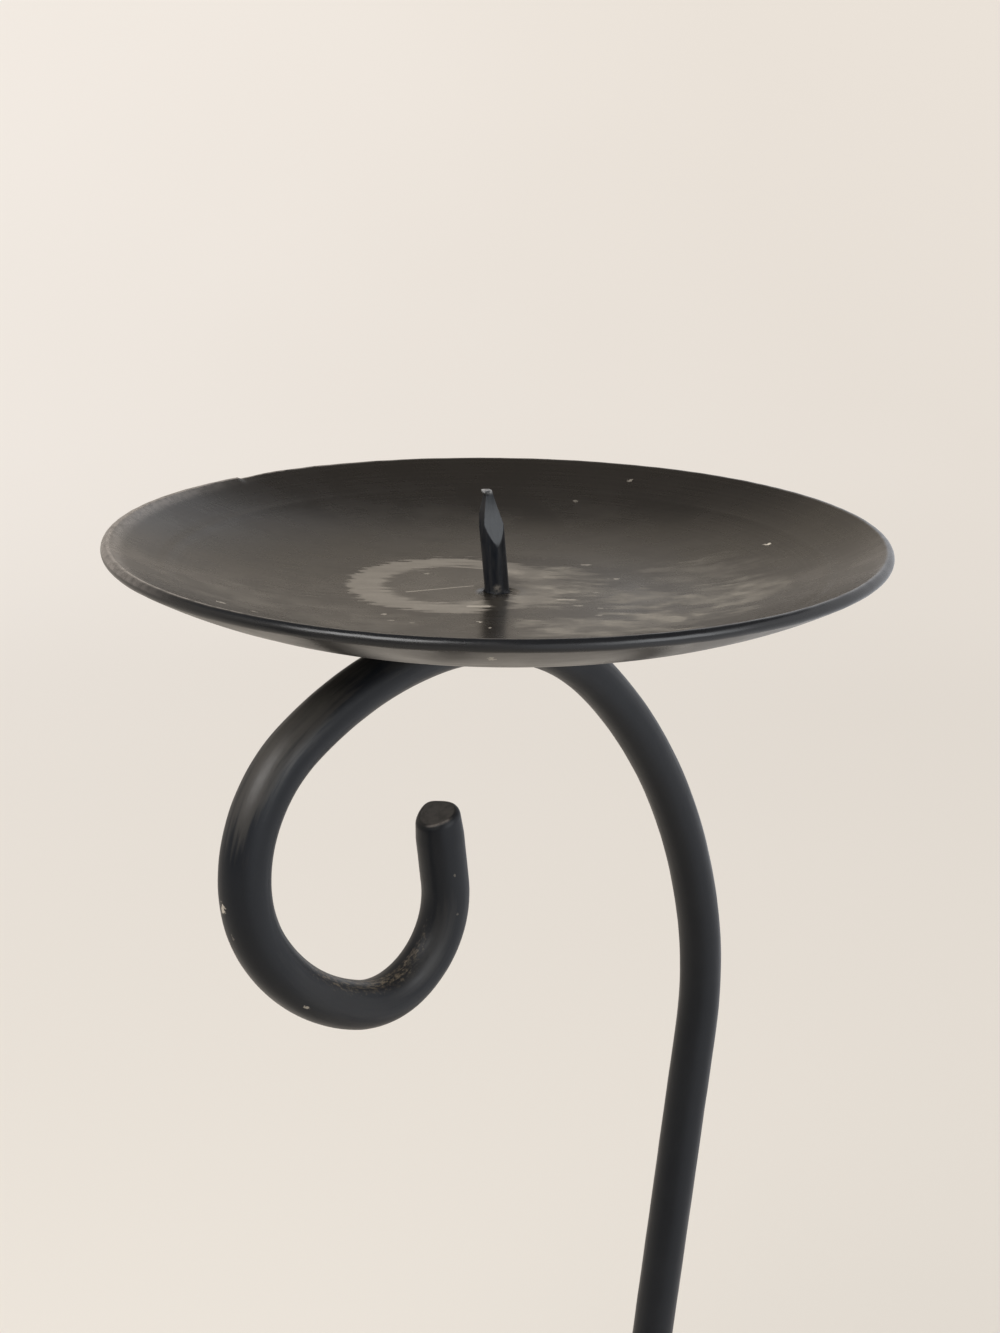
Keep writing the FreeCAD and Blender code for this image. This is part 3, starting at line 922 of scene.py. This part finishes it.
def backdrop_paint():
    """Warm off-white paper, faintly mottled and partly lit by itself, with a painted pool of light towards
    the window's side.

    What is mirrored in the object is a painted reflection of the same paper: painted shade near the camera,
    dimmer high up, and painted cool light on the right.
    """
    paint = Paint("backdrop_paint")
    outward = paint.length(paint.vector("MULTIPLY", paint.place, (1, 1, 0)))
    side = paint.dot(paint.place, picture_right())
    depth = paint.dot(paint.place, picture_away())
    height = paint.part(paint.place, "Z")
    cloud = paint.band(paint.noise(500, 2.0), 0.25, 0.75, 0.12, -0.12)
    # Painted light: the wall glows brighter towards the window's side.
    wall = paint.mix(paint.plus(paint.band(side, 450, -550), cloud), WALL_GLOW, WALL_GLOW_BRIGHT)
    glow = paint.mix(paint.band(outward, 300, 1350), FLOOR_GLOW, wall)
    mirrored = paint.mix(paint.band(height, 20, 500), MIRRORED_FLOOR, MIRRORED_WALL_LOW)
    mirrored = paint.mix(paint.band(height, 620, 1000), mirrored, MIRRORED_WALL_HIGH)
    # Painted reflection: shade near the camera, and cool light on the right.
    mirrored = paint.mix(paint.band(depth, 150, -350), mirrored, MIRRORED_NEAR_SHADE)
    mirrored = paint.mix(paint.band(side, 60, 420), mirrored, MIRRORED_RIGHT_COOL_LIGHT)
    seen_by = paint.add("ShaderNodeLightPath").outputs["Is Glossy Ray"]
    paint.put(paint.shader.inputs["Emission Color"], paint.mix(seen_by, glow, mirrored))
    paint.put(paint.shader.inputs["Emission Strength"], 1.0)
    return paint.finish(BACKDROP, 0.95, paint.noise(1.5, 3.0), depth=0.02 * MM, specular=0.0)


def make_stage():
    """A round floor that curves up into a backdrop all round.

    It is seen and mirrored, but it neither lights nor shades the object.
    """
    turns = np.radians(np.linspace(0, 90, 32))[1:]
    profile = [(radius, 0.0) for radius in np.linspace(0.05, STAGE_FLOOR_RADIUS, 16)]
    profile += [
        (STAGE_FLOOR_RADIUS + STAGE_COVE_RADIUS * math.sin(turn), STAGE_COVE_RADIUS * (1 - math.cos(turn)))
        for turn in turns
    ]
    profile.append((STAGE_FLOOR_RADIUS + STAGE_COVE_RADIUS, STAGE_WALL_HEIGHT))
    angles = np.linspace(0, 2 * math.pi, STAGE_SIDES, endpoint=False)
    places = [(r * math.cos(a), -r * math.sin(a), z) for r, z in profile for a in angles]
    faces = [tuple(reversed(range(STAGE_SIDES)))]
    for row in range(len(profile) - 1):
        here, ahead = row * STAGE_SIDES, (row + 1) * STAGE_SIDES
        for side in range(STAGE_SIDES):
            beside = (side + 1) % STAGE_SIDES
            faces.append((here + side, here + beside, ahead + beside, ahead + side))
    mesh = bpy.data.meshes.new("backdrop")
    mesh.from_pydata(places, [], faces)
    mesh.shade_smooth()
    mesh.materials.append(backdrop_paint())
    backdrop = bpy.data.objects.new("backdrop", mesh)
    bpy.context.scene.collection.objects.link(backdrop)
    backdrop.visible_diffuse = False
    backdrop.visible_shadow = False


def make_lamp(name, azimuth, elevation, size, power, colour, mirrored=True):
    """A soft rectangular lamp aimed at the right dish.

    The azimuth is from the camera's side, to the picture's right. A lamp that isn't mirrored lights the
    surfaces without a highlight of its own.
    """
    level = sin(azimuth) * picture_right() - cos(azimuth) * picture_away()
    away = cos(elevation) * level + sin(elevation) * Vector((0, 0, 1))
    data = bpy.data.lights.new(name, "AREA")
    data.shape = "RECTANGLE"
    data.size, data.size_y = size
    data.energy = power
    data.color = colour
    lamp = bpy.data.objects.new(name, data)
    lamp.location = middle_of("right_dish") + LAMP_DISTANCE * away
    lamp.rotation_mode = "QUATERNION"
    lamp.rotation_quaternion = away.to_track_quat("Z", "Y")
    lamp.visible_glossy = mirrored
    bpy.context.scene.collection.objects.link(lamp)


def make_world():
    """A room that is pale and warm low down, and dim and cool overhead."""
    world = bpy.data.worlds.new("room")
    world.use_nodes = True
    tree = world.node_tree
    direction = tree.nodes.new("ShaderNodeTexCoord")
    split = tree.nodes.new("ShaderNodeSeparateXYZ")
    ramp = tree.nodes.new("ShaderNodeValToRGB")
    tree.links.new(direction.outputs["Generated"], split.inputs[0])
    tree.links.new(split.outputs["Z"], ramp.inputs["Fac"])
    tree.links.new(ramp.outputs["Color"], tree.nodes["Background"].inputs["Color"])
    low, high = ramp.color_ramp.elements
    low.position, high.position = ROOM_FADE
    low.color = ROOM_LOW
    high.color = ROOM_HIGH
    bpy.context.scene.world = world


def right_bar_paint():
    """Wear, dust and painted sheen of the right bar, as the photograph shows it."""
    return bar_paint(
        "right_bar_paint",
        chips=[
            (441.7, 188.0, 0.9, 0.8, 1.0),
            (462.8, 124.4, 0.8, 0.4, 0.7),
            (445.7, 174.0, 0.5, 0.3, 0.25),
            (509.4, 74.2, 0.4, 0.25, 0.2),
            (502.0, 78.0, 0.3, 0.3, 0.15),
            (213.0, 300.0, 0.8, 0.5, 0.8),
            (96.0, 205.0, 0.6, 0.5, 0.7),
        ],
        rubbed=[
            (466.0, 26.0, 10.0, 1.5, 0.75),
            (478.0, 14.0, 11.0, 1.6, 0.75),
            (489.0, 6.0, 7.0, 1.2, 0.5),
            (120.0, 0.0, 30.0, 3.5, 0.35),
        ],
        # Dust and painted sheen: the patch at 484 along is dust; the others are partly dust and partly
        # painted sheen where soft highlights fall on the scroll.
        dust_and_sheen=[
            (484.0, 14.0, 16.0, 2.4, 0.12),
            (416.0, 160.0, 17.0, 3.4, 0.65),
            (386.0, 120.0, 12.0, 2.8, 0.35),
            (470.0, 78.0, 18.0, 2.6, 0.14),
            (492.0, 50.0, 14.0, 2.6, 0.22),
        ],
    )


def right_dish_paint():
    """Wear of the right dish, as the photograph shows it."""
    return dish_paint(
        "right_dish_paint",
        "right_dish",
        wiped_along=CAMERA_YAW,
        wax_ring=(-7.0, 4.8, 17.9, 5.8),
        specks=[
            (45.8, 17.5, 0.7, 0.5, 1.0),
            (-41.7, -22.6, 0.9, 0.5, 0.8),
            (-36.6, -23.2, 0.6, 0.4, 0.5),
            (24.4, 51.9, 0.5, 0.5, 0.3),
            (14.1, 47.9, 0.5, 0.5, 0.2),
            (-2.6, -17.8, 0.5, 0.5, 0.6),
            (-1.0, -20.9, 0.3, 0.4, 0.5),
            (-17.6, -14.2, 0.5, 0.5, 0.4),
            (-16.2, -17.7, 0.6, 0.3, 0.3),
            (-13.0, -18.7, 0.5, 0.4, 0.3),
            (-12.0, 11.5, 0.6, 0.6, 0.3),
            (14.9, 18.9, 1.2, 0.5, 0.35),
            (19.7, 9.6, 1.1, 0.4, 0.4),
            (16.0, 0.6, 0.8, 0.4, 0.25),
            (13.2, -7.5, 1.0, 0.4, 0.3),
            (16.6, -8.9, 0.8, 0.4, 0.3),
            (16.1, -13.0, 0.7, 0.5, 0.3),
            (-0.6, -58.5, 0.8, 1.2, 0.6),
        ],
        scratches=[
            ((-14.7, -0.5), (-4.0, 3.9), 0.25, 0.5),
            ((-4.4, -8.8), (-1.4, -8.7), 0.6, 0.5),
            ((9.9, -3.9), (12.4, -4.0), 0.5, 0.35),
        ],
        smears=[
            (16.0, -20.5, 16.0, 6.0, 0.74),
            (27.0, -16.0, 10.0, 6.0, 0.76),
            (35.0, -5.0, 8.0, 8.0, 0.62),
            (24.5, -4.0, 9.0, 7.0, 0.55),
            (42.0, -4.5, 7.0, 8.0, 0.42),
            (33.0, 11.0, 11.0, 8.0, 0.22),
            (10.5, 2.0, 9.0, 6.0, 0.75),
            (6.5, 12.0, 7.0, 5.5, 0.75),
            (13.0, 11.0, 6.0, 5.0, 0.45),
            (6.0, -5.0, 8.0, 4.0, 0.65),
            (-40.0, -14.0, 12.0, 10.0, 0.22),
            (-24.0, -20.0, 14.0, 8.0, 0.18),
        ],
        strokes=[
            ((0.3, -1.0), (0.4, -24.0), 3.4, 0.95),
            ((9.0, 28.0), (17.5, 19.0), 3.0, 0.9),
            ((17.5, 19.0), (24.0, 9.0), 3.0, 0.9),
            ((28.5, -7.0), (30.0, -18.0), 1.6, 0.6),
            ((47.5, 3.0), (49.0, -8.0), 2.4, 0.8),
        ],
        worn_side=tuple(-picture_right().xy),
    )


def left_bar_paint():
    """Wear, dust and painted sheen of the left bar, which isn't in the photograph."""
    return bar_paint(
        "left_bar_paint",
        chips=[
            (352.0, 120.0, 0.7, 0.5, 0.9),
            (470.0, 200.0, 0.6, 0.5, 0.7),
            (240.0, 80.0, 0.5, 0.3, 0.6),
            (128.0, 170.0, 0.8, 0.6, 0.8),
            (505.0, 140.0, 0.4, 0.3, 0.5),
        ],
        rubbed=[(484.0, 330.0, 12.0, 2.6, 0.6), (150.0, 10.0, 26.0, 3.5, 0.35)],
        # Dust and painted sheen, as on the right bar.
        dust_and_sheen=[(484.0, 330.0, 14.0, 3.0, 0.12), (410.0, 190.0, 17.0, 3.2, 0.3)],
    )


def left_dish_paint():
    """Wear of the left dish, which isn't in the photograph."""
    return dish_paint(
        "left_dish_paint",
        "left_dish",
        wiped_along=110.0,
        wax_ring=(-3.5, -2.0, 18.8, 4.6),
        specks=[
            (30.0, 34.0, 0.8, 0.5, 0.9),
            (-48.0, -12.0, 0.7, 0.6, 0.8),
            (12.0, -38.0, 0.5, 0.5, 0.8),
            (-15.0, 41.0, 0.4, 0.3, 0.6),
            (18.0, 6.0, 1.0, 0.4, 0.35),
            (-9.0, 15.0, 0.6, 0.5, 0.4),
        ],
        scratches=[((8.0, 12.0), (15.0, 4.0), 0.25, 0.5), ((-28.0, 10.0), (-24.0, 16.0), 0.2, 0.4)],
        smears=[
            (-18.0, 14.0, 14.0, 9.0, 0.50),
            (-30.0, 4.0, 9.0, 8.0, 0.45),
            (20.0, 24.0, 13.0, 9.0, 0.40),
            (10.0, -12.0, 12.0, 10.0, 0.30),
        ],
        strokes=[((2.0, 1.0), (12.0, 9.0), 3.0, 0.9), ((-14.0, -16.0), (4.0, -21.0), 3.0, 0.8)],
        worn_side=(0.9, -0.4),
    )


def build_side(side, turn, bar, dish, nail, weld, warp, nick, facets, turned, lean, seed):
    """The six pieces of one side, built as the right side and turned to their place."""
    pieces = [
        (arm_mesh(f"{side}_arm_bar", seed), bar, "arm", "bar_paint"),
        (foot_mesh(f"{side}_foot_bar", seed + 4), bar, "foot", "bar_paint"),
        (dish_mesh(f"{side}_dish_pressing", warp, nick, seed), dish, "dish", "dish_paint"),
        (nail_mesh(f"{side}_nail", facets, turned, lean, seed), nail, "spike", "spike_paint"),
        (dish_beads_mesh(f"{side}_dish_beads", seed), weld, "dish_weld", "weld_paint"),
        (foot_beads_mesh(f"{side}_foot_beads", seed + 2), weld, "foot_weld", "weld_paint"),
    ]
    for mesh, material, node, slot in pieces:
        mesh.transform(turn)
        place_piece(mesh, material, f"{side}_{node}", slot)


def build():
    """All thirteen pieces."""
    nail, weld = nail_paint("nail_paint"), weld_paint("weld_paint")
    build_side(
        "right",
        Matrix.Identity(4),
        bar=right_bar_paint(),
        dish=right_dish_paint(),
        nail=nail,
        weld=weld,
        warp=[(1, 0.07 * MM, 0.20 * MM), (2, 0.05 * MM, -0.04 * MM)],
        nick=(86.0, 94.0),
        # Last column: grey share. The -Y facet at 1.0, lit from the right, is a painted highlight; the -X
        # facet at 0.0, in shade, is kept black.
        facets=[
            (8.3 * MM, 0.45 * MM, 1.2, 0.5),
            (9.6 * MM, 0.65 * MM, 1.25, 0.4),
            (8.6 * MM, 0.55 * MM, 1.4, 0.0),
            (7.8 * MM, 0.42 * MM, 2.5, 1.0),
        ],
        turned=-22.5,
        lean=-picture_right() * math.tan(math.radians(5.4)),
        seed=1,
    )
    build_side(
        "left",
        HALF_TURN,
        bar=left_bar_paint(),
        dish=left_dish_paint(),
        nail=nail,
        weld=weld,
        warp=[(1, -0.08 * MM, 0.06 * MM), (2, 0.09 * MM, 0.0), (3, 0.0, 0.05 * MM)],
        nick=(200.0, 205.0),
        # Last column: grey share, partly wear and partly painted highlight, as on the right.
        facets=[
            (8.5 * MM, 0.55 * MM, 1.3, 0.6),
            (9.4 * MM, 0.60 * MM, 1.25, 0.3),
            (8.0 * MM, 0.50 * MM, 2.2, 0.9),
            (9.0 * MM, 0.65 * MM, 1.3, 0.4),
        ],
        turned=15.0,
        lean=Vector((0.02, 0.03, 0)),
        seed=2,
    )
    place_piece(butt_bead_mesh("butt_bead", 3), weld, "butt_weld", "weld_paint")


build()
make_stage()
make_lamp("window", -40, 43, size=(0.62, 0.5), power=7.0, colour=(1.0, 0.99, 0.98))
make_lamp("ceiling", -60, 58, size=(1.0, 1.0), power=13.8, colour=(1.0, 0.98, 0.96), mirrored=False)
make_lamp("lamp", 49, 18, size=(0.65, 0.6), power=3.8, colour=(0.95, 0.98, 1.0))
make_world()
make_camera()
bpy.context.scene.view_settings.view_transform = "Standard"
